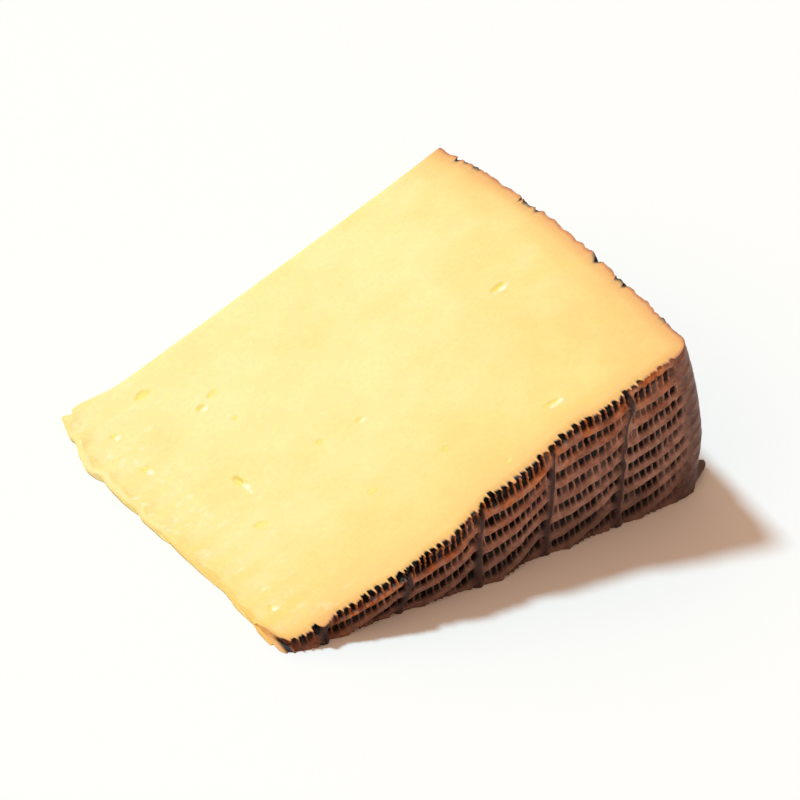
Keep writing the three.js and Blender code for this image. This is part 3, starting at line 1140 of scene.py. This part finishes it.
@dataclass
class Rind:
    """The rind of the flat face, the rim and the curved side as one closed shell with its weave, in mm."""

    wheel: WheelForm
    cuts: CutForm
    finish: WovenMouldRind = WovenMouldRind()
    flat_columns: int = 450
    rim_columns: int = 16
    side_columns: int = 150
    lines: int = 150
    thin_start: float = 0.9
    first_rim: float = 95.0  # the rim is found in rounds, from this first guess
    rim_rounds: int = 8
    side_join: Ramp = (0.0, 6.0)
    lip_reach: float = 4.1
    lip_height: float = 1.4
    lip_spread: float = 0.6
    lip_fade: float = 1.1
    lip_turn: Ramp = (0.6, 1.55)  # radians round the rim
    knobble: Ramp = (0.12, 0.16)  # on the plain rim, and more for each mm of lip
    knobble_grain: Grain = Grain(1.8, 81)
    knobble_stretch: Ramp = (6.0, 2.0)
    rim_ridge: float = 0.4
    rim_ridge_width: float = 0.11
    rim_ridge_turn: Ramp = (0.25, 1.15)
    rim_settles: Ramp = (0.0, 0.8)
    rim_tone: float = 0.6
    rim_tone_from: Ramp = (-3.0, 0.5)
    glow_depth: Ramp = (3.4, 5.2)
    glow_depth_least: float = 0.8
    glow_edge_power: float = 1.5
    glow_left: Ramp = (15.0, 100.0)  # the glow is whole on the left
    glow_right: float = 0.75  # and this much of it reaches the right
    glow_even: float = 0.75
    glow_wave: Grain = Grain(5.0, 90, 0.5)
    glow_specks: Grain = Grain(1.6, 91, 0.5)
    glow_body: float = 0.42
    glow_body_depth: float = 11.0
    glow_on_fold: float = 0.55
    no_glow_right: Ramp = (96.0, 101.0)
    no_glow_front: Ramp = (8.0, 4.0)
    glow_on_section: float = 0.9
    # Painted shade darkens the rind towards the floor over these heights, with a wavering edge.
    floor_shade_ramp: Ramp = (1.5, 11.0)
    floor_shade_edge: Grain = Grain(4.0, 97, 1.5)
    flesh_ramp: Ramp = (1.45, 1.9)
    knob_rise: float = 0.5  # where a fold meets the cut, mm for each unit of fold past knob_from
    knob_from: float = 0.55
    knob_front: float = 4.0
    tooth: Grain = Grain(0.7, 95, 0.28)
    lift_shares: tuple[float, float, float] = (0.3, 0.65, 1.0)
    proud: float = 0.012
    tuck: float = 0.03
    section_reach: float = 3.8
    # Each step's share of the way inwards, and how much of the paste's colour it shows.
    section_steps: Stations = ((0.1, 0.35), (0.25, 0.85), (0.72, 1.0), (1.0, 1.0))

    def smooth_form(self) -> SmoothForm:
        """Lay out the shell's lines without relief.

        Returns:
            The smooth form.
        """
        wheel, cuts = self.wheel, self.cuts
        height = np.linspace(0, 1, self.lines)[None, :]
        rim_x = np.full_like(height, self.first_rim)
        for _ in range(self.rim_rounds):
            rim_z = height * cuts.upper(rim_x, np.zeros_like(height))
            side = wheel.side_radius(np.full_like(height, wheel.rim_depth))
            rim_x = np.sqrt(side**2 - rim_z**2) - wheel.rim(rim_z)
        share = np.linspace(0, 1, self.flat_columns)[:, None]
        x = self.thin_start + share * (rim_x - self.thin_start)
        z = height * cuts.upper(x, np.ones_like(x))
        flat_y = wheel.flat_face(x, z, cuts)
        turn = np.linspace(0, np.pi / 2, self.rim_columns + 1)[1:, None]
        rim = RimForm(rim_x, flat_y[-1:, :], rim_z, wheel.rim(rim_z), turn)
        rim_out = rim.hub + rim.rounding
        share = np.linspace(0, 1, self.side_columns + 1)[1:, None]
        side_y = rim.end_y + share * (cuts.far_cut(rim_out * np.cos(rim.angle)) - rim.end_y)
        # The rim meets the barrel's own radius over the first few millimetres.
        side_out = blend(rim_out, wheel.side_radius(side_y), smooth(*self.side_join, side_y - rim.end_y))
        return SmoothForm(height, x, flat_y, z, rim, side_y, side_out)

    def lip(self, z: Array) -> Array:
        """How far the lip by the floor stands out at height z."""
        return self.lip_reach * hump(z, self.lip_height, self.lip_spread)

    def rim_surface(self, rim: RimForm, flat: Relief) -> tuple[Array, Array, Array]:
        """Shape the rim: nearly plain, with the rows' ridges running out on it and the lip by the floor.

        Args:
            rim: the rim's smooth form.
            flat: the flat face's relief, which runs out on the rim.

        Returns:
            Distance from the axis, y, and the height of the ridges, at each point.
        """
        turn, lip = rim.turn, self.lip(rim.z)
        round_it, up_it = self.knobble_stretch
        plain, on_lip = self.knobble
        knobble = (plain + on_lip * lip) * self.knobble_grain.crumbled(turn * round_it, rim.z * up_it)
        out = rim.hub + (rim.rounding + lip * smooth(*self.lip_turn, turn) + knobble) * np.sin(turn)
        row = self.wheel.row_number(out * np.cos(rim.angle), np.maximum(rim.z, self.wheel.pressed))
        f = np.mod(row, 1.0)
        ridge = self.rim_ridge * hump(np.minimum(f, 1 - f), 0.0, self.rim_ridge_width)
        ridge = ridge * (1 - smooth(*self.rim_ridge_turn, turn))
        settling = flat.depth[-1:, :] * (1 - smooth(*self.rim_settles, turn))
        return out, rim.y + rim.rounding * (1 - np.cos(turn)) + settling - ridge, ridge

    def outer(self, form: SmoothForm) -> tuple[Array, Array, Array]:
        """Print the relief on the smooth form.

        Args:
            form: the smooth form.

        Returns:
            The shell's outer points, and 0 to 1 for pit and for fold at each.
        """
        wheel, cuts, rim = self.wheel, self.cuts, form.rim
        flat = FlatRelief(wheel, cuts).at(form.x, form.z, rim.x)
        flat_y = form.flat_y + flat.depth
        face = np.stack([form.x, flat_y, form.height * cuts.upper(form.x, flat_y)], -1)
        rim_out, rim_y, ridge = self.rim_surface(rim, flat)
        side_relief = SideRelief(wheel, cuts)
        side = side_relief.at(form.side_y, np.broadcast_to(rim.angle * wheel.radius, form.side_y.shape))
        foot = self.lip(rim.z) * np.exp(-np.maximum(0, form.side_y - rim.end_y) / self.lip_fade)
        out = np.concatenate([rim_out, form.side_out - side.depth + foot])
        points = np.concatenate([face, rim.place(out, np.concatenate([rim_y, form.side_y]))])
        pit = np.concatenate([flat.pit, np.zeros_like(rim_out), side.pit])
        plain_face = smooth(*self.rim_tone_from, form.x - rim.x)
        plain_side = 1 - smooth(*side_relief.rim_clear, form.side_y)
        fold = [
            np.maximum(flat.fold, self.rim_tone * plain_face),
            self.rim_tone * (1 - ridge),
            np.maximum(side.fold, self.rim_tone * plain_side),
        ]
        return points, pit, np.concatenate(fold)

    def glow(self, points: Array, fold: Array) -> Array:
        """Say where to paint the glow by the cut: light as if coming through the thin rind, with the paste's
        orange.

        Args:
            points: the shell's outer points.
            fold: 0 to 1 for fold at each.

        Returns:
            0 to 1 for the glow at each.
        """
        x, y, z = points[..., 0], points[..., 1], points[..., 2]
        below = np.maximum(0, self.cuts.upper(x, y) - z)
        leftward = 1 - smooth(*self.glow_left, x)
        depth = blend(*self.glow_depth, leftward) * (1 + self.glow_wave.at(x, z))
        edge = np.exp(-((below / np.maximum(depth, self.glow_depth_least)) ** self.glow_edge_power))
        body = self.glow_body * hump(below, 0.0, self.glow_body_depth)
        glow = np.maximum(edge * blend(self.glow_right, 1.0, leftward), body)
        glow = glow * (1 - self.glow_on_fold * fold) * (self.glow_even + self.glow_specks.at(x, z))
        glow = glow * (1 - smooth(*self.no_glow_right, x) * smooth(*self.no_glow_front, y))
        return np.clip(glow, 0, 1)

    def lift(self, points: Array, fold: Array) -> Array:
        """Raise the shell's upper edge: a hair proud of the cut, higher at the folds' knobs and torn teeth.

        Args:
            points: the shell's outer points.
            fold: 0 to 1 for fold at each.

        Returns:
            How far each point moves.
        """
        x, y = points[:, -1:, 0], points[:, -1:, 1]
        knob = self.knob_rise * np.clip(fold[:, -1:] - self.knob_from, 0, 1) * (y < self.knob_front)
        ragged = np.maximum(0, self.tooth.line(x - y))
        lift = np.zeros_like(points)
        lift[:, -3:, 2] = (knob + ragged) * np.array([self.lift_shares])
        lift[:, -1, 2] += self.proud
        return lift

    def inner(self, form: SmoothForm) -> Array:
        """Lay the section's inner line, along the floor and along the upper cut.

        Args:
            form: the smooth form.

        Returns:
            Points in two columns, the floor's and the upper cut's.
        """
        reach, rim = self.section_reach, form.rim
        rounding = rim.rounding - reach
        out = np.concatenate([rim.hub + rounding * np.sin(rim.turn), form.side_out - reach])
        y = np.concatenate([rim.end_y - rounding * np.cos(rim.turn), form.side_y])
        face = np.stack([form.x, form.flat_y + reach, np.zeros_like(form.x)], -1)
        line = np.concatenate([face, rim.place(out, y)])[:, [0, -1]]
        line[:, 0, 2] = 0.0
        line[:, 1, 2] = self.cuts.upper(line[:, 1, 0], line[:, 1, 1])
        return line

    def section(
        self, skin: Skin, numbers: Array, points: Array, inner: Array, pit: Array
    ) -> list[list[Array]]:
        """Add the strips where the rind is cut through, on the floor and on the upper cut.

        Args:
            skin: the skin to add to.
            numbers: the outer points' numbers.
            points: the outer points.
            inner: the section's inner line.
            pit: 0 to 1 for pit at each outer point.

        Returns:
            For floor and upper cut, the numbers along each step from the outer points inwards.
        """
        drying = Drying(self.wheel, self.cuts)
        strips = []
        for edge in (0, -1):
            strip = [numbers[:, edge]]
            for share, flesh in self.section_steps:
                mid = blend(points[:, edge], inner[:, edge], share)
                # The last step tucks under the paste, and the others cover its edge.
                height = self.proud if share < 1 else -self.tuck
                mid[:, 2] = 0.0 if edge == 0 else self.cuts.upper(mid[:, 0], mid[:, 1]) + height
                marks = {"pit": pit[:, edge] * (1 - share), "fold": 0.0, "glow": self.glow_on_section}
                strip.append(skin.add(mid, **marks, flesh=flesh, low=0.0, **drying.marks(mid)))
            strips.append(strip)
            skin.quads(np.stack(strip, 1), flip=edge == 0)
        return strips

    def build(self) -> bpy.types.Object:
        """Build the shell.

        Returns:
            The rind piece, dressed.
        """
        form = self.smooth_form()
        points, pit, fold = self.outer(form)
        x, y, z = points[..., 0], points[..., 1], points[..., 2]
        skin = Skin()
        numbers = skin.add(
            points + self.lift(points, fold),
            pit=pit,
            fold=fold,
            glow=self.glow(points, fold),
            flesh=1 - smooth(*self.flesh_ramp, x),
            # low: painted shade, darker towards the floor.
            low=1 - smooth(*self.floor_shade_ramp, z + self.floor_shade_edge.at(x - y, z)),
            **Drying(self.wheel, self.cuts).marks(points),
        )
        skin.quads(numbers)
        floor, top = self.section(skin, numbers, points, self.inner(form), pit)
        skin.quads(np.stack([floor[-1], top[-1]], 1), flip=True)
        for end, flip in ((0, False), (-1, True)):
            loop = list(numbers[end, :]) + [n[end] for n in top[1:]] + [n[end] for n in floor[:0:-1]]
            skin.polygon(np.array(loop), flip=flip)
        piece = skin.build("rind")
        self.dress(piece)
        return piece

    def dress(self, piece: bpy.types.Object) -> None:
        """Give the shell its finish."""
        piece.data.materials.append(self.finish.material())


# The paste


@dataclass(frozen=True)
class Opening:
    """A small mechanical opening in the cut face, in mm.

    Its place is the distance up the cut from the axis line, and y. Its length runs along y, turned by tilt
    in radians, and beside it, towards the flat face, the knife may have lifted a flake.
    """

    out: float
    y: float
    length: float
    width: float
    depth: float
    tilt: float = 0.0
    wall: Ramp = (0.5, 1.2)
    flake_gap: float = 0.3
    flake_margin: float = 0.2
    flake_edge: Ramp = (0.4, 1.1)

    def inside(self, out: Array, y: Array, ragged: Grain) -> Array:
        """Find the points in the opening.

        Args:
            out: distance up the cut from the axis line, mm.
            y: distance along the axis, mm.
            ragged: unevenness of its outline.

        Returns:
            0 outside to 1 inside.
        """
        dx, dy = out - self.out, y - self.y
        c, s = np.cos(self.tilt), np.sin(self.tilt)
        a, b = (dx * c + dy * s) / (self.width / 2), (-dx * s + dy * c) / (self.length / 2)
        return 1 - smooth(*self.wall, np.hypot(a, b) + ragged.at(out, y))

    def flake(self, out: Array, y: Array, ragged: Grain) -> Array:
        """Find the points on the lifted flake.

        Args:
            out: distance up the cut from the axis line, mm.
            y: distance along the axis, mm.
            ragged: unevenness of its outline.

        Returns:
            0 off the flake to 1 on it.
        """
        dx, dy = out - self.out, y - self.y
        a = (dx - self.flake_gap) / (self.width / 2)
        b = (dy + 0.5 * self.length + self.flake_gap) / (self.length / 3 + self.flake_margin)
        return 1 - smooth(*self.flake_edge, np.hypot(a, b) + ragged.at(out, y))


class Wall(Enum):
    """The paste's upright faces."""

    THIN = "thin edge"
    SIDE = "curved side"
    FLAT = "flat face"
    FAR = "far cut"


@dataclass
class Paste:
    """The paste, a closed body between the cuts, with its openings and crumb. Lengths are in mm."""

    wheel: WheelForm
    cuts: CutForm
    finish: KnifeCutPaste = KnifeCutPaste()
    columns: int = 250
    rows: int = 216
    lines: int = 20
    rind_thickness: float = 2.58  # the paste's edge lies this far in, under the rind's section
    plan_rounds: int = 10  # the plan is found in rounds, from the wheel's radius and this first depth
    first_depth: float = 94.0
    first_row: float = 11.8  # where the first row meets the thin edge
    edge_bow: float = 0.45
    edge_bow_middle: float = 0.7
    edge_bow_range: Ramp = (0.4, 2.0)
    rim_most: float = 0.985
    floor_gap: float = 0.03
    upper_gap: float = 0.25
    tip_border: Ramp = (0.0, 0.02)  # shares of the upper cut that stay flat, by tip, side and flat face
    side_border: Ramp = (0.012, 0.06)
    flat_border: Ramp = (0.014, 0.07)
    opening_share: float = 0.6
    opening_ragged: Grain = Grain(0.9, 200, 0.28)
    flake_ragged: Grain = Grain(0.8, 230, 0.4)
    flake_height: float = 0.12
    loose_reach: float = 13.0
    crumb: Grain = Grain(3.2, 401)
    crumb_height: Ramp = (0.05, 0.06)  # everywhere, and more towards the thin edge
    sway: Grain = Grain(22.0, 411, 0.16)
    torn: Grain = Grain(7.0, 421)
    torn_from: float = 0.2
    torn_ramp: Ramp = (1.5, 6.0)
    torn_depth: float = 0.35
    streak: Grain = Grain(2.6, 423, 1.5)
    streak_stretch: Ramp = (0.8, 1.5)
    streak_ramp: Ramp = (0.45, 0.9)
    streak_tone: float = 0.55
    thin_rough: Grain = Grain(2.4, 431, 0.1)
    thin_rough_squeeze: float = 2.0
    far_rough: Grain = Grain(3.0, 441, 0.12)
    far_border: Ramp = (0.0, 0.02)
    openings: tuple[Opening, ...] = (
        Opening(19.0, 47.5, 5.6, 1.3, 1.0, 0.15),
        Opening(17.5, 86.5, 2.2, 4.4, 0.7, -0.2),
        Opening(24.5, 72.5, 1.9, 1.7, 0.7),
        Opening(28.3, 74.0, 1.2, 3.0, 0.5, 0.3),
        Opening(88.0, 47.2, 1.5, 3.6, 0.8, 0.1),
        Opening(37.0, 42.5, 1.6, 1.3, 0.5),
        Opening(46.0, 40.5, 1.1, 1.9, 0.5),
        Opening(28.0, 63.5, 1.6, 1.2, 0.5),
        Opening(76.5, 11.0, 1.0, 4.2, 0.5, -0.25),
        Opening(54.0, 19.0, 1.3, 1.6, 0.45),
        Opening(6.5, 67.0, 3.0, 1.4, 0.5, 0.4),
        Opening(37.0, 22.0, 1.4, 2.4, 0.4, 0.5),
        Opening(6.5, 81.0, 2.0, 1.5, 0.5),
        Opening(16.0, 33.5, 1.4, 3.2, 0.4, -0.4),
        Opening(5.5, 13.0, 1.3, 1.5, 0.4),
        Opening(61.0, 5.5, 0.8, 1.8, 0.4),
    )

    @property
    def across(self) -> Array:
        """Shares from the thin edge to the rind of the curved side."""
        return np.linspace(0, 1, self.columns)[:, None]

    @property
    def back(self) -> Array:
        """Shares from the rind of the flat face to the far cut."""
        return np.linspace(0, 1, self.rows)[:, None]

    def plan(self, u: Array, w: Array, v: Array) -> Array:
        """Place points of the paste's box in plan and height.

        Args:
            u: 0 at the thin edge to 1 at the rind of the curved side.
            w: 0 at the rind of the flat face to 1 at the far cut.
            v: 0 on the floor to 1 on the upper cut.

        Returns:
            Points in mm of the wheel frame.
        """
        wheel, cuts = self.wheel, self.cuts
        u, w, v = np.broadcast_arrays(u, w, v)
        rind = self.rind_thickness
        x, y = u * wheel.radius, w * self.first_depth
        tip_y = blend(self.first_row, cuts.far_cut(np.zeros_like(w)), w)
        blunt = np.clip(cuts.blunt(tip_y), *self.edge_bow_range)
        start = cuts.tip(tip_y) + self.edge_bow * (2 * v - self.edge_bow_middle) ** 2 * blunt
        for _ in range(self.plan_rounds):
            z = v * cuts.upper(x, y)
            rounding = wheel.rim(z) - rind
            side = wheel.side_radius(np.maximum(y, wheel.rim_depth)) - rind
            outer = np.sqrt(np.maximum(side**2 - z**2, 1.0))
            x = start + u * (outer - start)
            over = np.clip((x - (outer - rounding)) / rounding, 0, self.rim_most)
            near = wheel.flat_face(x, z, cuts) + rind + rounding * (1 - np.sqrt(1 - over**2))
            y = blend(near, cuts.far_cut(x), w)
        return np.stack([x, y, np.maximum(v * cuts.upper(x, y), self.floor_gap)], -1)

    def opened(self, out: Array, y: Array) -> tuple[Array, Array, Array]:
        """Sink the openings into the upper cut and lift a flake beside every second one.

        Args:
            out: distance up the cut from the axis line, mm.
            y: distance along the axis, mm.

        Returns:
            Depth in mm, 0 to 1 inside an opening, and 0 to 1 on a lifted flake.
        """
        depth, inside, fleck = np.zeros_like(out), np.zeros_like(out), np.zeros_like(out)
        for i, opening in enumerate(self.openings):
            share = opening.inside(out, y, self.opening_ragged.other(i))
            depth = np.maximum(depth, share * opening.depth * self.opening_share)
            inside = np.maximum(inside, share)
            lifted = opening.flake(out, y, self.flake_ragged.other(i)) * (i % 2 == 0)
            depth = depth - self.flake_height * lifted
            # The lifted flake is painted pale, partly as a painted highlight on its raised edge.
            fleck = np.maximum(fleck, lifted)
        return depth, inside, fleck

    def upper_cut(self, skin: Skin) -> Array:
        """Add the upper cut, with openings, crumb and a ragged thin edge.

        Args:
            skin: the skin to add to.

        Returns:
            The vertices' numbers.
        """
        cuts = self.cuts
        u, w = self.across, self.back.T
        top = self.plan(u, w, np.ones((1, 1)))
        out, y = top[..., 0] / np.cos(cuts.angle), top[..., 1]
        inner = smooth(*self.tip_border, u) * smooth(*self.flat_border, w) * smooth(*self.side_border, 1 - u)
        depth, inside, fleck = self.opened(out, y)
        loose = np.exp(-np.maximum(0, out) / self.loose_reach)
        even, more = self.crumb_height
        crumb = self.crumb.crumbled(out, y) * (even + more * loose) + self.sway.at(out, y)
        torn = np.maximum(0, self.torn.crumbled(out, y) - self.torn_from)
        torn = torn * smooth(*self.torn_ramp, out) * loose * self.torn_depth
        up, along_edge = self.streak_stretch
        streak = smooth(*self.streak_ramp, self.streak.crumbled(out * up, y * along_edge)) * loose
        drop = (depth + torn + crumb) * inner
        top = top + drop[..., None] * np.array([np.sin(cuts.angle), 0, -np.cos(cuts.angle)])
        top[..., 2] = np.maximum(top[..., 2], self.upper_gap)
        fleck = np.clip(fleck + self.streak_tone * streak, 0, 1)
        numbers = skin.add(top, fleck=fleck, hole=inside, **Drying(self.wheel, cuts).marks(top))
        skin.quads(numbers)
        return numbers

    def wall(self, wall: Wall) -> Array:
        """Place an upright face, from just below the upper cut down to the floor.

        Args:
            wall: which face.

        Returns:
            Its points, in rows along the face.
        """
        down = np.linspace(0, 1, self.lines)[None, ::-1]
        if wall is Wall.THIN:
            points = self.plan(np.zeros((1, 1)), self.back, down)[:, 1:]
            rough = self.thin_rough.crumbled(points[..., 1], points[..., 2] * self.thin_rough_squeeze)
            points[..., 0] += rough * down[:, 1:]
            return points
        if wall is Wall.SIDE:
            return self.plan(np.ones((1, 1)), self.back, down)[:, 1:]
        if wall is Wall.FLAT:
            return self.plan(self.across, np.zeros((1, 1)), down)[1:-1, 1:]
        points = self.plan(self.across, np.ones((1, 1)), down)[:, 1:]
        rough = self.far_rough.crumbled(points[..., 0], points[..., 2])
        ends = smooth(*self.far_border, self.across) * smooth(*self.far_border, 1 - self.across)
        points[..., 1] += rough * ends * np.minimum(1, points[..., 2])
        return points[1:-1]

    def build(self) -> bpy.types.Object:
        """Build the paste.

        Returns:
            The paste piece, dressed.
        """
        skin = Skin()
        drying = Drying(self.wheel, self.cuts)
        top = self.upper_cut(skin)
        numbers = {}
        for wall in Wall:
            points = self.wall(wall)
            numbers[wall] = skin.add(points, fleck=0.0, hole=0.0, **drying.marks(points))
        # Flat face and far cut share their end columns with the thin edge and the curved side.
        thin, side = numbers[Wall.THIN], numbers[Wall.SIDE]
        for wall, end in ((Wall.FLAT, 0), (Wall.FAR, -1)):
            numbers[wall] = np.concatenate([thin[end][None], numbers[wall], side[end][None]])
        edges = {Wall.THIN: top[0, :], Wall.SIDE: top[-1, :], Wall.FLAT: top[:, 0], Wall.FAR: top[:, -1]}
        for wall, low in numbers.items():
            grid = np.concatenate([edges[wall][:, None], low], 1)
            skin.quads(grid, flip=wall in (Wall.THIN, Wall.FAR))
        foot = {wall: low[:, -1] for wall, low in numbers.items()}
        ring = (foot[Wall.FLAT], foot[Wall.SIDE][1:], foot[Wall.FAR][-2::-1], foot[Wall.THIN][-2:0:-1])
        skin.polygon(np.concatenate(ring), flip=True)
        piece = skin.build("paste")
        self.dress(piece)
        return piece

    def dress(self, piece: bpy.types.Object) -> None:
        """Give the paste its finish."""
        piece.data.materials.append(self.finish.material())


# Studio


class Light(Enum):
    """The studio's light: its colour times its share of the board's brightness."""

    KEY = (0.455, 0.65, 0.76)
    FILL = (0.60, 0.395, 0.285)


@dataclass
class Studio:
    """Pale board, soft lamps and the camera at the photograph's angle. Lengths are in mm."""

    focal: float = 135.045
    sensor: float = 36.0
    near_clip: float = 10.0
    far_clip: float = 20000.0
    azimuth: float = np.radians(-32.7)
    elevation: float = np.radians(34.7)
    roll: float = np.radians(0.15)
    distance: float = 585.1
    right_shift: float = 22.78
    up_shift: float = 50.77
    key_from: tuple[float, float, float] = (-0.195, 0.505, 0.845)
    key_spread: float = np.radians(9.0)
    board_half: float = 3000.0
    board_drop: float = 0.1  # keeps the wedge's underside clear of the board
    paint: PaintedBoard = PaintedBoard()

    def axes(self) -> tuple[Array, Array, Array]:
        """Work out how the camera is turned.

        Returns:
            Its right, up and backward directions.
        """
        sa, ca = np.sin(self.azimuth), np.cos(self.azimuth)
        se, ce = np.sin(self.elevation), np.cos(self.elevation)
        back = np.array([sa * ce, -ca * ce, se])
        right = np.array([ca, sa, 0.0])
        up = np.cross(back, right)
        c, s = np.cos(self.roll), np.sin(self.roll)
        return c * right + s * up, -s * right + c * up, back

    def camera(self) -> bpy.types.Object:
        """Set the camera up at the photograph's viewing angle.

        Returns:
            The camera.
        """
        right, up, back = self.axes()
        place = back * self.distance + right * self.right_shift + up * self.up_shift - FRAME_ORIGIN
        data = bpy.data.cameras.new("camera")
        data.lens = self.focal
        data.sensor_width = self.sensor
        data.clip_start, data.clip_end = self.near_clip * MM, self.far_clip * MM
        camera = bpy.data.objects.new("camera", data)
        turn = Matrix((right, up, back)).transposed().to_4x4()
        camera.matrix_world = Matrix.Translation(Vector(place * MM)) @ turn
        bpy.context.scene.collection.objects.link(camera)
        bpy.context.scene.camera = camera
        return camera

    def key(self) -> bpy.types.Object:
        """Hang the key light: soft, from behind and above, a little from the left.

        Returns:
            The lamp.
        """
        aim = Vector(self.key_from).normalized()
        strength = max(Light.KEY.value)
        data = bpy.data.lights.new("key", "SUN")
        data.angle = self.key_spread
        data.energy = strength * np.pi / aim.z  # so that the board reflects the key's share
        data.color = tuple(c / strength for c in Light.KEY.value)
        lamp = bpy.data.objects.new("key", data)
        lamp.rotation_euler = aim.to_track_quat("Z", "Y").to_euler()
        bpy.context.scene.collection.objects.link(lamp)
        return lamp

    def board(self) -> bpy.types.Object:
        """Lay the pale board under the wedge.

        Returns:
            The board.
        """
        half, drop = self.board_half * MM, self.board_drop * MM
        corners = [(-half, -half, -drop), (half, -half, -drop), (half, half, -drop), (-half, half, -drop)]
        mesh = bpy.data.meshes.new("board")
        mesh.from_pydata(corners, [], [(0, 1, 2, 3)])
        mesh.materials.append(self.paint.material())
        board = bpy.data.objects.new("board", mesh)
        bpy.context.scene.collection.objects.link(board)
        return board

    def build(self) -> None:
        """Set up fill, board, key light and camera."""
        scene = bpy.context.scene
        scene.view_settings.view_transform = "Standard"
        world = bpy.data.worlds.new("studio")
        world.use_nodes = True
        background = world.node_tree.nodes["Background"]
        background.inputs["Color"].default_value = (*Light.FILL.value, 1.0)
        scene.world = world
        self.board()
        self.key()
        self.camera()


def main() -> None:
    """Load the frame, build the studio and the pieces, and report each piece."""
    logging.basicConfig(level=logging.INFO, format="%(name)s: %(message)s")
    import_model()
    wheel, cuts = WheelForm(), CutForm()
    Studio().build()
    paste = Paste(wheel, cuts).build()
    rind = Rind(wheel, cuts).build()
    for piece in (paste, rind):
        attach(piece, "root")
        LOG.info("%s: %d vertices, %d faces", piece.name, len(piece.data.vertices), len(piece.data.polygons))
    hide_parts(NODE)


if __name__ == "__main__":
    main()
